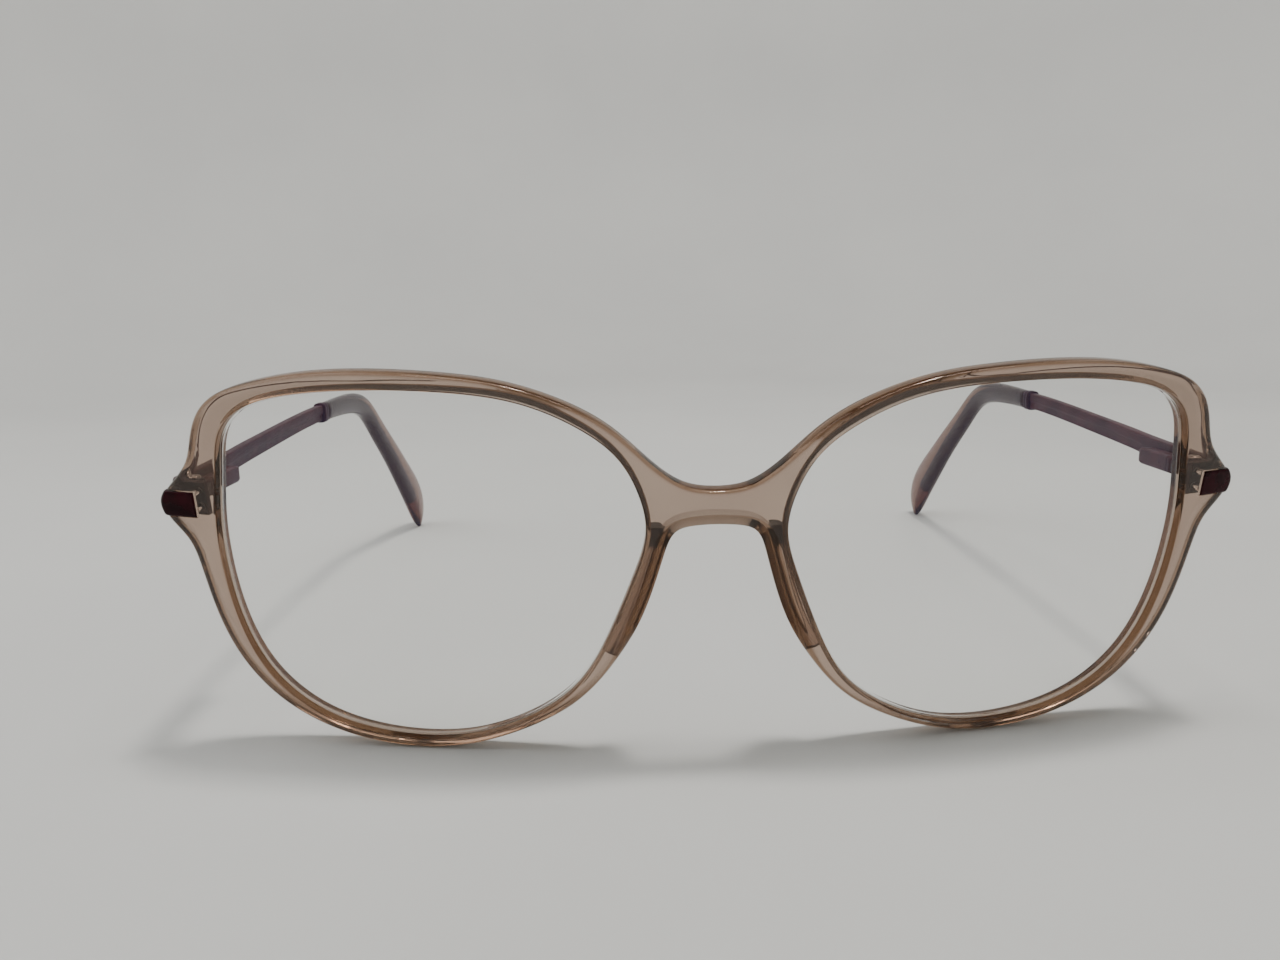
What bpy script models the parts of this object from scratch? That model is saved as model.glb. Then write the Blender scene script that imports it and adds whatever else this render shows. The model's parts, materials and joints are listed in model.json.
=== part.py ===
"""Eyeglasses: a one-piece acetate front with two lenses, and two slim metal temples on spring hinges.

The design is written in millimetres. X points to the wearer's left, Y from the front towards the
ear tips, and Z up. The glasses stand open on a flat surface, on both rims and both tips, and the
origin is the centre of the base of that stance. Run with: blender --background --python part.py
"""
import math

import bmesh
import bpy
import numpy as np
from mathutils import Vector

# ---- driving dimensions, in millimetres -------------------------------------------------------
MM = 0.001
SIDES = (("left", 1), ("right", -1))     # of the wearer, and the sign of their X
ORIGIN_X = 1.77             # from the nose to the middle of the stance
ORIGIN_Y = 61.47            # from the plane of the rims' feet back to the middle of the stance
FRONT_LIFT = -0.04          # raises the outline so that the lowest point of the rims is at zero
WRAP_RADIUS = 265.7         # the front's bend around the face
LEAN = math.radians(9.41)   # the front leans forward at the top
THICKNESS = 3.1             # acetate sheet
EDGE = 0.6                  # rounding of the front's outer edges
LIP_EDGE = 0.25             # rounding of the lens openings' edges
GROOVE_DEPTH = 0.65         # V groove that holds a lens
GROOVE_HALF = 0.5
GROOVE_AT = 1.55            # from the front face to the middle of the groove
LENS_HALF = 0.65            # half the lens's thickness
LENS_GAP = 0.3
OUTLINE_POINTS = 118        # round the whole front
OPENING_POINTS = 56         # round one lens opening

TEMPLES_TURN = math.radians(-2.2)   # both stand slightly to the wearer's left on their hinges
HINGE_X = 66.7              # hinge axis, which is vertical
HINGE_Y = 9.2
HINGE_Z = 34.9
KNUCKLE_R = 1.25
SCREW_R = 0.45
EYE_HALF = 0.75             # half the height of the middle knuckle
LUG = 1.0                   # height of the outer knuckles
PLAY = 0.1                  # between pieces of the hinge

BOX_X = (66.1, 68.1)        # spring housing, from its inner side to the temple bar
BOX_Y = (12.1, 21.4)
BOX_MIDDLE = sum(BOX_X) / 2
BOX_HALF = 1.2              # half its height
BOX_BORE = 0.76             # radius of the spring's chamber
CHAMBER_END = 21.0
BUSH_Y = (14.0, 15.9)       # retaining bush at the mouth of the chamber
PIN_Y = 15.4                # small pin that holds the bush
ROD_R = 0.36
NUT_Y = (19.9, 20.5)
SPRING_WIRE = 0.13
SPRING_R = 0.58
SPRING_TURNS = 5

COLLAR_Y = (67.0, 69.2)
TIP_BORE_GAP = 0.2

# ---- outlines, in the flat sheet before it is bent --------------------------------------------
# Half of the front's outline: u outwards from the nose, v up from the feet of the rims. It runs
# from the middle of the bridge's top over the brow, the corner and the rim to the nose.
FRONT_HALF = [
    (1.9, 36.9), (4.6, 37.7), (7.8, 40.0), (12.4, 44.2), (18.0, 47.55), (25.6, 50.05), (33.6, 51.05),
    (41.8, 51.28), (49.6, 50.75), (56.0, 49.45), (60.6, 47.7), (63.2, 45.3), (64.6, 42.2),
    (65.7, 39.1), (67.9, 36.3), (69.8, 33.7), (69.2, 31.1), (67.2, 28.4), (66.2, 25.0), (65.3, 19.6),
    (63.4, 13.2), (59.9, 7.6), (55.2, 3.6), (49.3, 0.9), (43.2, -0.32), (36.9, -0.46), (30.6, 0.62),
    (24.0, 3.2), (17.9, 7.05), (13.4, 12.1), (10.0, 17.6), (7.9, 23.0), (6.5, 27.8), (5.25, 30.85),
    (3.0, 31.85)]
# One lens opening, from the nose over the top and round.
LENS_OPENING = [
    (8.75, 31.3), (9.6, 36.4), (12.2, 41.2), (17.0, 45.0), (24.0, 47.9), (32.9, 49.05), (42.0, 49.1),
    (50.2, 48.35), (56.6, 46.5), (60.2, 43.1), (61.6, 37.5), (62.5, 31.2), (62.6, 24.4), (61.5, 16.7),
    (58.3, 9.4), (52.5, 4.2), (45.7, 1.75), (38.8, 1.03), (31.6, 1.75), (24.2, 4.65), (17.6, 9.9),
    (13.2, 17.9), (10.3, 25.4)]
# The temple's centre line on the wearer's left: x outwards, y back, z up. It runs from the hinge
# head along the bar, over the ear bend and down to the end of the tip.
TEMPLE_ROUTE = [
    (68.85, 7.1, 34.75), (68.9, 14.0, 35.2), (69.0, 20.0, 35.6), (69.1, 27.0, 36.1),
    (69.3, 40.0, 36.65), (69.4, 54.0, 37.2), (69.3, 67.0, 37.5), (69.1, 80.0, 37.25),
    (68.9, 88.5, 36.4), (68.7, 94.0, 34.7), (68.5, 98.3, 31.9), (68.2, 102.4, 28.3),
    (67.5, 110.2, 21.3), (66.8, 117.6, 13.8), (66.2, 123.8, 7.1), (65.7, 128.4, 0.92)]
BAR_LENGTH = 62.4           # along the route, from the head to where the core wire begins
TIP_START = 62.6
CORE_SHORT = 9.0            # the core wire ends this far before the tip does
BORE_SHORT = 8.4
BAR_THICK = 1.5
BAR_HIGH = 2.95
HEAD_HIGH = 4.2             # the bar is higher where the hinge is
HEAD_LENGTH = 20.0
# Share of the tip's length, height and thickness of its section there.
TIP_SHAPE = [(0.0, 3.5, 2.4), (0.12, 3.9, 2.6), (0.3, 4.6, 2.8), (0.55, 5.7, 3.1), (0.76, 7.6, 3.5),
             (0.88, 8.6, 3.6), (0.95, 7.2, 3.2), (0.985, 4.6, 2.2), (1.0, 2.0, 1.2)]
# Middle line of a nose pad on the back of the rim: u, v.
PAD_LINE = [(7.1, 31.4), (8.1, 28.0), (9.4, 23.8), (10.65, 20.2), (12.15, 16.9), (13.9, 13.9)]
PAD_HIGH = 2.6
PAD_HALF = 0.8
NOSE_BEVEL = 1.15           # extra bevel round the nose arch, front and back
PLATE = (65.0, 31.65, 35.05)    # corner plate: inner edge in u, and its v range
PLATE_THICK = 0.75
PLATE_PROUD = 0.12
PLATE_WRAP = 2.3                # how far it goes round the corner
PLATE_ROOM = 0.2                # round it in its recess
LEAF = (64.6, 67.8, 31.3, 35.7)     # hinge leaf's foot on the back face: u and v ranges
LEAF_THICK = 0.7
LEAF_ROOT = (6.15, 6.6)         # y where the knuckles' arms end in the foot: inner and outer side
LEAF_SCREWS = [("upper", 65.5, 34.55), ("lower", 65.5, 32.45)]
LEAF_SCREW_R = 0.4
LEAF_SCREW_TIP = 1.2            # depth in the sheet where the screws end


# ---- shared geometry --------------------------------------------------------------------------
def curve_through(points, closed):
    """A dense cubic spline through the points, spaced evenly along its length."""
    knots = np.array(points, float)
    count = len(knots)
    ends = np.vstack([knots, knots[:1]]) if closed else knots
    step = np.sqrt(np.linalg.norm(np.diff(ends, axis=0), axis=1))
    matrix, right = np.eye(count), np.zeros_like(knots)
    for i in range(count) if closed else range(1, count - 1):
        before, after = step[i - 1], step[i]
        matrix[i, i - 1], matrix[i, i], matrix[i, (i + 1) % count] = before, 2 * (before + after), after
        right[i] = 6 * ((ends[i + 1] - ends[i]) / after - (ends[i] - knots[i - 1]) / before)
    bend = np.linalg.solve(matrix, right)
    bend = np.vstack([bend, bend[:1]]) if closed else bend
    dense = []
    for i, size in enumerate(step):
        t = np.linspace(0, 1, 24, endpoint=False)[:, None]
        curve = ((1 - t) ** 3 - (1 - t)) * bend[i] + (t ** 3 - t) * bend[i + 1]
        dense.append((1 - t) * ends[i] + t * ends[i + 1] + size * size / 6 * curve)
    return np.vstack(dense + [ends[-1:]])


def along(curve, shares):
    """Points at the given shares, 0 to 1, of the curve's length."""
    length = np.r_[0, np.cumsum(np.linalg.norm(np.diff(curve, axis=0), axis=1))]
    return np.stack([np.interp(np.asarray(shares) * length[-1], length, axis) for axis in curve.T], -1)


def smooth_step(value):
    value = min(max(value, 0.0), 1.0)
    return value * value * (3 - 2 * value)


def even_loop(points, count):
    return along(curve_through(points, True), np.arange(count) / count)


def offset_loop(loop, distance):
    """Moves a closed flat loop sideways: inwards where the loop runs anticlockwise."""
    tangent = np.roll(loop, -1, 0) - np.roll(loop, 1, 0)
    tangent /= np.linalg.norm(tangent, axis=1)[:, None]
    return loop + distance * np.stack([-tangent[:, 1], tangent[:, 0]], -1)


def on_front(u, v, w):
    """A point of the sheet, w deep behind its front face, after the bend and the lean."""
    turn = math.atan(u / WRAP_RADIUS)
    back = u * u / (2 * WRAP_RADIUS) + w * math.cos(turn)
    return Vector((u - w * math.sin(turn),
                   back * math.cos(LEAN) - v * math.sin(LEAN),
                   back * math.sin(LEAN) + v * math.cos(LEAN) + FRONT_LIFT))


def add_rows(bm, rows):
    """Joins equal closed rows of points by quads, and returns the rows' vertices."""
    made = [[bm.verts.new(point) for point in row] for row in rows]
    for low, high in zip(made, made[1:]):
        for i in range(len(low)):
            j = (i + 1) % len(low)
            bm.faces.new((low[i], low[j], high[j], high[i]))
    return made


def loft(rows):
    """A closed solid through rows of points, with flat ends."""
    bm = bmesh.new()
    made = add_rows(bm, rows)
    bm.faces.new(made[0][::-1])
    bm.faces.new(made[-1])
    return bm


def pipe(outer, inner, blind=False):
    """A hollow solid between outer and inner rows, with a closed far end if it is blind."""
    bm = bmesh.new()
    outside = add_rows(bm, outer)
    inside = add_rows(bm, inner)
    rims = [(outside[0], inside[0])]
    if blind:
        bm.faces.new(outside[-1])
        bm.faces.new(inside[-1])
    else:
        rims.append((outside[-1], inside[-1]))
    for out, hole in rims:
        for i in range(len(out)):
            j = (i + 1) % len(out)
            bm.faces.new((out[i], out[j], hole[j], hole[i]))
    return bm


def ring(centre, axis, radius, count=16):
    """Points of a circle round an axis: 'Y' or 'Z'."""
    points = []
    for i in range(count):
        angle = 2 * math.pi * i / count
        a, b = radius * math.cos(angle), radius * math.sin(angle)
        shift = (a, 0, b) if axis == "Y" else (a, b, 0)
        points.append(Vector(centre) + Vector(shift))
    return points


def turned(centre, axis, profile, count=16):
    """A closed turned solid: profile holds (distance along the axis, radius) from end to end."""
    step = Vector((0, 1, 0)) if axis == "Y" else Vector((0, 0, 1))
    return loft([ring(Vector(centre) + step * at, axis, radius, count) for at, radius in profile])


def block(low, high, bevel=0.0):
    bm = bmesh.new()
    bmesh.ops.create_cube(bm, size=1)
    for vert in bm.verts:
        vert.co = Vector([low[i] + (vert.co[i] + 0.5) * (high[i] - low[i]) for i in range(3)])
    if bevel:
        bmesh.ops.bevel(bm, geom=bm.edges[:], offset=bevel, segments=2, profile=0.5, affect="EDGES",
                        clamp_overlap=True)
    return bm


# ---- objects ----------------------------------------------------------------------------------
def clear_scene():
    for item in list(bpy.data.objects):
        bpy.data.objects.remove(item, do_unlink=True)


def material(name, colour, roughness, metallic=0.0, alpha=1.0):
    made = bpy.data.materials.new(name)
    made.use_nodes = True
    shader = made.node_tree.nodes["Principled BSDF"]
    shader.inputs["Base Color"].default_value = (*colour, 1.0)
    shader.inputs["Roughness"].default_value = roughness
    shader.inputs["Metallic"].default_value = metallic
    shader.inputs["Alpha"].default_value = alpha
    return made


def pivot(name, side, place, parent=None):
    """An empty on a joint's axis, which the pieces of the moving body hang from."""
    empty = bpy.data.objects.new(name, None)
    bpy.context.collection.objects.link(empty)
    world = Vector((side * place[0] - ORIGIN_X, place[1] - ORIGIN_Y, place[2])) * MM
    empty.parent = parent
    empty.location = world - (world_of(parent) if parent else Vector())
    return empty


def world_of(item):
    return item.location + (world_of(item.parent) if item.parent else Vector())


def add_piece(name, bm, finish, side=1, parent=None):
    """Makes the object from a shape of the wearer's left side, mirrored where side is -1."""
    start = world_of(parent) if parent else Vector()
    for vert in bm.verts:
        place = Vector((side * vert.co.x - ORIGIN_X, vert.co.y - ORIGIN_Y, vert.co.z)) * MM
        vert.co = place - start
    bmesh.ops.recalc_face_normals(bm, faces=bm.faces[:])
    if bm.calc_volume(signed=True) < 0:
        bmesh.ops.reverse_faces(bm, faces=bm.faces[:])
    mesh = bpy.data.meshes.new(name)
    bm.to_mesh(mesh)
    bm.free()
    mesh.shade_smooth()
    mesh.set_sharp_from_angle(angle=math.radians(35))
    piece = bpy.data.objects.new(name, mesh)
    bpy.context.collection.objects.link(piece)
    piece.parent = parent
    if finish:
        mesh.materials.append(finish)
    return piece


def combine(piece, bm, operation, side=1):
    """Joins to a piece, or cuts from it, another shape by an exact Boolean."""
    tool = add_piece(piece.name + "_" + operation.lower(), bm, None, side, piece.parent)
    tool.hide_render = True
    tool.display_type = "WIRE"
    step = piece.modifiers.new(operation.title(), "BOOLEAN")
    step.operation = operation
    step.solver = "EXACT"
    step.object = tool


# ---- front ------------------------------------------------------------------------------------
def front_outline():
    half = np.array(FRONT_HALF)
    return even_loop(np.vstack([half, (half * [-1, 1])[::-1]]), OUTLINE_POINTS)[::-1]


def lens_opening():
    return even_loop(LENS_OPENING, OPENING_POINTS)[::-1]


def nose_share(loop):
    """How much of the nose's extra bevel each point of the outline has, 0 to 1."""
    near = (np.abs(loop[:, 0]) < 16) & (loop[:, 1] < 34)
    return np.array([smooth_step((v - 10.0) / 9.0) if close else 0.0 for close, v in zip(near, loop[:, 1])])


def outer_rows(loop):
    """The outer wall, from the front face over two rounded edges to the back face."""
    width = EDGE + NOSE_BEVEL * nose_share(loop)
    depth = EDGE + 0.5 * NOSE_BEVEL * nose_share(loop)
    rows = []
    for inset, drop, back in ((1, 0, False), (0.29, 0.29, False), (0, 1, False),
                              (0, 1, True), (0.29, 0.29, True), (1, 0, True)):
        flat = offset_loop(loop, inset * width[:, None])
        level = THICKNESS - drop * depth if back else drop * depth
        rows.append([(u, v, w) for (u, v), w in zip(flat, level)])
    return rows


def opening_rows(loop):
    wall = [(LIP_EDGE, 0), (0, LIP_EDGE), (0, GROOVE_AT - GROOVE_HALF), (GROOVE_DEPTH, GROOVE_AT),
            (0, GROOVE_AT + GROOVE_HALF), (0, THICKNESS - LIP_EDGE), (LIP_EDGE, THICKNESS)]
    return [[(u, v, depth) for u, v in offset_loop(loop, -out)] for out, depth in wall]


def mirrored(rows):
    return [[(-u, v, w) for u, v, w in row] for row in rows]


def front_shape():
    bm = bmesh.new()
    opening = opening_rows(lens_opening())
    walls = [add_rows(bm, rows) for rows in (outer_rows(front_outline()), opening, mirrored(opening))]
    for end in (0, -1):
        rim = []
        for wall in walls:
            loop = wall[end]
            rim += [bm.edges.get((loop[i], loop[i - 1])) for i in range(len(loop))]
        bmesh.ops.triangle_fill(bm, use_beauty=True, use_dissolve=False, edges=rim)
    for vert in bm.verts:
        vert.co = on_front(*vert.co)
    return bm


def lens_shape():
    """The lens with its bevelled edge; the faces shrink in steps to the middle, to follow the bend."""
    loop = lens_opening()
    middle = loop.mean(0)
    flat = [middle + (loop - middle) * share for share in (0.02, 0.3, 0.58, 0.82)]
    rows = [[on_front(u, v, GROOVE_AT - LENS_HALF) for u, v in row] for row in flat]
    for out, depth in ((-LENS_GAP - 0.15, -LENS_HALF), (-LENS_GAP, -GROOVE_HALF),
                       (GROOVE_DEPTH - 0.35, 0.0),
                       (-LENS_GAP, GROOVE_HALF), (-LENS_GAP - 0.15, LENS_HALF)):
        rows.append([on_front(u, v, GROOVE_AT + depth) for u, v in offset_loop(loop, -out)])
    rows += [[on_front(u, v, GROOVE_AT + LENS_HALF) for u, v in row] for row in flat[::-1]]
    return loft(rows)


def outline_reach(v):
    """How far out the front's corner reaches at height v."""
    curve = curve_through(FRONT_HALF, False)
    corner = curve[(curve[:, 0] > 60) & (curve[:, 1] > 20)]
    order = np.argsort(corner[:, 1])
    return float(np.interp(v, corner[order, 1], corner[order, 0]))


def corner_rows(inner_u, low, high, out, inside, wrap, stations=6):
    """Sections, one above the other, of a shell that wraps the corner of the front."""
    rows = []
    for v in np.linspace(low, high, stations):
        reach = outline_reach(v)
        outer = [(inner_u, -out), (66.5, -out), (reach - EDGE, -out),
                 (reach - 0.2 + 0.7 * out, 0.2 - 0.7 * out), (reach + out, EDGE), (reach + out, wrap)]
        inner = [(reach - inside, wrap), (reach - inside, EDGE + 0.2),
                 (reach - 0.35 - inside, inside), (reach - EDGE - inside, inside),
                 (66.5, inside), (inner_u, inside)]
        rows.append([on_front(u, v, w) for u, w in outer + inner])
    return rows


def corner_plate_shape():
    inner_u, low, high = PLATE
    return loft(corner_rows(inner_u, low, high, PLATE_PROUD, PLATE_THICK - PLATE_PROUD, PLATE_WRAP))


def corner_recess_shape():
    inner_u, low, high = PLATE
    room = PLATE_ROOM
    return loft(corner_rows(inner_u - room, low - room, high + room, 0.9,
                            PLATE_THICK - PLATE_PROUD + room, PLATE_WRAP + room))


def sheet_block(u_range, v_range, w_range):
    rows = []
    for w in w_range:
        rows.append([on_front(u, v, w) for u, v in ((u_range[0], v_range[0]), (u_range[1], v_range[0]),
                                                    (u_range[1], v_range[1]), (u_range[0], v_range[1]))])
    return loft(rows)


def sheet_turned(u, v, profile, count=12):
    """A turned solid that stands square to the sheet: profile holds (depth, radius)."""
    rows = []
    for depth, radius in profile:
        angles = [2 * math.pi * i / count for i in range(count)]
        rows.append([on_front(u + radius * math.cos(a), v + radius * math.sin(a), depth) for a in angles])
    return loft(rows)


def nose_pad_shape():
    line = curve_through(PAD_LINE, False)
    shares = np.linspace(0, 1, 9)
    points = along(line, shares)
    across = np.gradient(points, axis=0)
    across = np.stack([-across[:, 1], across[:, 0]], -1) / np.linalg.norm(across, axis=1)[:, None]
    rows = []
    for share, middle, side in zip(shares, points, across):
        swell = math.sin(math.pi * (0.06 + 0.88 * share)) ** 0.7
        high, half = PAD_HIGH * swell, PAD_HALF * (0.55 + 0.45 * swell)
        splay = 0.5 * swell
        section = [(half, 0), (-half, 0), (-half + 0.3 * splay, 0.45 * high), (-half + splay, 0.85 * high),
                   (-0.2 * half + splay, high), (0.6 * half + splay, 0.8 * high), (half + 0.2 * splay, 0.4 * high)]
        rows.append([on_front(*(middle + side * shift), THICKNESS + PLAY + depth)
                     for shift, depth in section])
    return loft(rows)


# ---- hinge ------------------------------------------------------------------------------------
def lug_shape(low, high, root, half_width):
    """A knuckle round the hinge axis with an arm that ends at the two y of root: inner and outer."""
    count = 14
    towards = 1 if root[0] > HINGE_Y else -1
    points = [(HINGE_X - half_width, root[0]), (HINGE_X + half_width, root[1])][::towards]
    start = math.asin(half_width / KNUCKLE_R)
    for i in range(count + 1):
        angle = start + (2 * math.pi - 2 * start) * i / count
        points.append((HINGE_X + KNUCKLE_R * math.sin(angle) * towards,
                       HINGE_Y + KNUCKLE_R * math.cos(angle) * towards))
    return loft([[Vector((x, y, z)) for x, y in points] for z in (low, high)])


def leaf_foot_shape():
    u_low, u_high, v_low, v_high = LEAF
    return sheet_block((u_low, u_high), (v_low, v_high), (THICKNESS + PLAY, THICKNESS + PLAY + LEAF_THICK))


def add_hinge_leaf(side_name, side, finish):
    leaf = add_piece("front_hinge_leaf_" + side_name, leaf_foot_shape(), finish, side)
    root = LEAF_ROOT
    inner = HINGE_Z + EYE_HALF + PLAY
    outer = inner + LUG
    for low, high in ((inner, outer), (2 * HINGE_Z - outer, 2 * HINGE_Z - inner)):
        combine(leaf, lug_shape(low, high, root, 0.9), "UNION", side)
    bore = [(-3, SCREW_R + 0.06), (3, SCREW_R + 0.06)]
    combine(leaf, turned((HINGE_X, HINGE_Y, HINGE_Z), "Z", bore), "DIFFERENCE", side)
    for name, u, v in LEAF_SCREWS:
        hole = [(THICKNESS - 1, LEAF_SCREW_R + PLAY), (THICKNESS + 2, LEAF_SCREW_R + PLAY)]
        combine(leaf, sheet_turned(u, v, hole), "DIFFERENCE", side)
    return leaf


def leaf_screw_shape(u, v):
    top = THICKNESS + PLAY + LEAF_THICK + 0.05
    return sheet_turned(u, v, [(LEAF_SCREW_TIP, 0.2), (LEAF_SCREW_TIP + 0.3, LEAF_SCREW_R),
                               (top, LEAF_SCREW_R), (top, 0.75), (top + 0.3, 0.7), (top + 0.4, 0.5)])


def hinge_screw_shape():
    reach = EYE_HALF + PLAY + LUG
    return turned((HINGE_X, HINGE_Y, HINGE_Z), "Z",
                  [(-reach, SCREW_R - 0.1), (0.15 - reach, SCREW_R), (reach + 0.05, SCREW_R),
                   (reach + 0.05, 0.85), (reach + 0.3, 0.85), (reach + 0.45, 0.6)])


def add_hinge_eye(side_name, side, finish, parent):
    neck = BOX_Y[0] - 0.15
    eye = add_piece("hinge_eye_" + side_name,
                    lug_shape(HINGE_Z - EYE_HALF, HINGE_Z + EYE_HALF, (neck, neck), 0.8),
                    finish, side, parent)
    rod = [(neck - 0.8, 0.6), (BUSH_Y[0] - 0.25, 0.6), (BUSH_Y[0] - 0.1, ROD_R), (NUT_Y[1] + 0.1, ROD_R)]
    combine(eye, turned((BOX_MIDDLE, 0, HINGE_Z), "Y", rod), "UNION", side)
    bore = [(-3, SCREW_R + 0.06), (3, SCREW_R + 0.06)]
    combine(eye, turned((HINGE_X, HINGE_Y, HINGE_Z), "Z", bore), "DIFFERENCE", side)
    return eye


def y_ring_shape(y_range, inner, outer):
    """A plain ring on the spring's axis."""
    middle = [(BOX_MIDDLE, y, HINGE_Z) for y in y_range]
    return pipe([ring(place, "Y", outer) for place in middle], [ring(place, "Y", inner) for place in middle])


def spring_shape():
    sides, steps = 5, 12
    start, end = BUSH_Y[1] + 0.1 + SPRING_WIRE, NUT_Y[0] - 0.1 - SPRING_WIRE
    rows = []
    for i in range(SPRING_TURNS * steps + 1):
        angle = 2 * math.pi * i / steps
        y = start + (end - start) * i / (SPRING_TURNS * steps)
        outwards = Vector((math.cos(angle), 0, math.sin(angle)))
        middle = Vector((BOX_MIDDLE, y, HINGE_Z)) + SPRING_R * outwards
        wire = [2 * math.pi * k / sides for k in range(sides)]
        rows.append([middle + SPRING_WIRE * (outwards * math.cos(a) + Vector((0, 1, 0)) * math.sin(a))
                     for a in wire])
    return loft(rows)


def add_hinge_box(side_name, side, finish, parent):
    low = (BOX_X[0], BOX_Y[0], HINGE_Z - BOX_HALF)
    high = (BOX_X[1], BOX_Y[1], HINGE_Z + BOX_HALF)
    box = add_piece("hinge_box_" + side_name, block(low, high, 0.2), finish, side, parent)
    bore = [(BOX_Y[0] - 1, BOX_BORE), (CHAMBER_END, BOX_BORE)]
    combine(box, turned((BOX_MIDDLE, 0, HINGE_Z), "Y", bore), "DIFFERENCE", side)
    combine(box, side_pin_shape(BOX_X[0] - 1, BOX_MIDDLE, 0.3), "DIFFERENCE", side)
    return box


def side_pin_shape(x_low, x_high, radius):
    """A small pin across the housing, into the bush."""
    turn = [2 * math.pi * i / 10 for i in range(10)]
    return loft([[Vector((x, PIN_Y + radius * math.cos(a), HINGE_Z + radius * math.sin(a)))
                  for a in turn] for x in (x_low, x_high)])


# ---- temple -----------------------------------------------------------------------------------
class TempleRoute:
    """The temple's centre line with a frame of outward and upward directions along it."""

    def __init__(self):
        self.curve = curve_through(TEMPLE_ROUTE, False)
        self.length = float(np.linalg.norm(np.diff(self.curve, axis=0), axis=1).sum())

    def frame(self, distance):
        place, ahead, behind = [Vector(p) for p in along(
            self.curve, [distance / self.length, min(distance + 0.5, self.length) / self.length,
                         max(distance - 0.5, 0) / self.length])]
        forward = (ahead - behind).normalized()
        outward = (Vector((1, 0, 0)) - forward * forward.x).normalized()
        return place, outward, outward.cross(forward)

    def section(self, distance, high, thick, square=4.0, rise=0.0, ridge=0.0, count=12):
        """A rounded section, as a superellipse: rise lifts it, ridge lifts its inner side's lower part."""
        place, outward, upward = self.frame(distance)
        points = []
        for i in range(count):
            angle = 2 * math.pi * (i + 0.5) / count
            c, s = math.cos(angle), math.sin(angle)
            out = thick / 2 * math.copysign(abs(c) ** (2 / square), c)
            up = high / 2 * math.copysign(abs(s) ** (2 / square), s)
            if c < -0.8 and s < 0:
                out -= ridge
            points.append(place + outward * out + upward * (up + rise))
        return points


def bar_shape(route):
    rows = []
    for distance in list(np.linspace(0, HEAD_LENGTH, 8)) + list(np.linspace(28, BAR_LENGTH, 7)):
        high = BAR_HIGH + (HEAD_HIGH - BAR_HIGH) * (1 - smooth_step(distance / HEAD_LENGTH))
        ridge = 0.18 * smooth_step((distance - 14) / 6)
        rows.append(route.section(distance, high, BAR_THICK, 7.0, ridge=ridge))
    end = route.length - CORE_SHORT
    for distance in np.linspace(BAR_LENGTH + 0.6, end, 17):
        rows.append(route.section(distance, 2.3, 1.1, 4.0))
    return loft(rows)


def collar_shape(route):
    start, end = COLLAR_Y[0] - TEMPLE_ROUTE[0][1], COLLAR_Y[1] - TEMPLE_ROUTE[0][1]
    outer = [route.section(start, 3.45, 2.2), route.section(start + 0.3, 3.75, 2.5),
             route.section(end - 0.3, 3.75, 2.5), route.section(end, 3.45, 2.2)]
    inner = [route.section(d, BAR_HIGH + 0.3, BAR_THICK + 0.5, 7.0)
             for d in (start, start + 0.3, end - 0.3, end)]
    return pipe(outer, inner)


def tip_size(share):
    knots = np.array(TIP_SHAPE)
    return np.interp(share, knots[:, 0], knots[:, 1]), np.interp(share, knots[:, 0], knots[:, 2])


def tip_shape(route):
    length = route.length - TIP_START
    outer = []
    for share in list(np.linspace(0, 0.72, 15)) + [0.78, 0.84, 0.9, 0.94, 0.97, 0.99, 1.0]:
        high, thick = tip_size(share)
        outer.append(route.section(TIP_START + share * length, high, thick, 2.6, rise=0.38 * (high - 3.6)))
    inner = [route.section(distance, 2.3 + 2 * TIP_BORE_GAP, 1.1 + 2 * TIP_BORE_GAP, 4.0)
             for distance in np.linspace(TIP_START, route.length - BORE_SHORT, 17)]
    return pipe(outer, inner, blind=True)


# ---- assembly ---------------------------------------------------------------------------------
def build_front(finishes):
    front = add_piece("front_frame", front_shape(), finishes["acetate"])
    for side_name, side in SIDES:
        combine(front, corner_recess_shape(), "DIFFERENCE", side)
        for name, u, v in LEAF_SCREWS:
            hole = [(LEAF_SCREW_TIP - PLAY, LEAF_SCREW_R + PLAY), (THICKNESS + 1, LEAF_SCREW_R + PLAY)]
            combine(front, sheet_turned(u, v, hole), "DIFFERENCE", side)
        add_piece("lens_" + side_name, lens_shape(), finishes["lens"], side)
        add_piece("nose_pad_" + side_name, nose_pad_shape(), finishes["acetate"], side)
        add_piece("corner_plate_" + side_name, corner_plate_shape(), finishes["enamel"], side)
        add_hinge_leaf(side_name, side, finishes["hinge"])
        for name, u, v in LEAF_SCREWS:
            add_piece(f"leaf_screw_{name}_{side_name}", leaf_screw_shape(u, v), finishes["screw"], side)
        add_piece("hinge_screw_" + side_name, hinge_screw_shape(), finishes["screw"], side)


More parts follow.
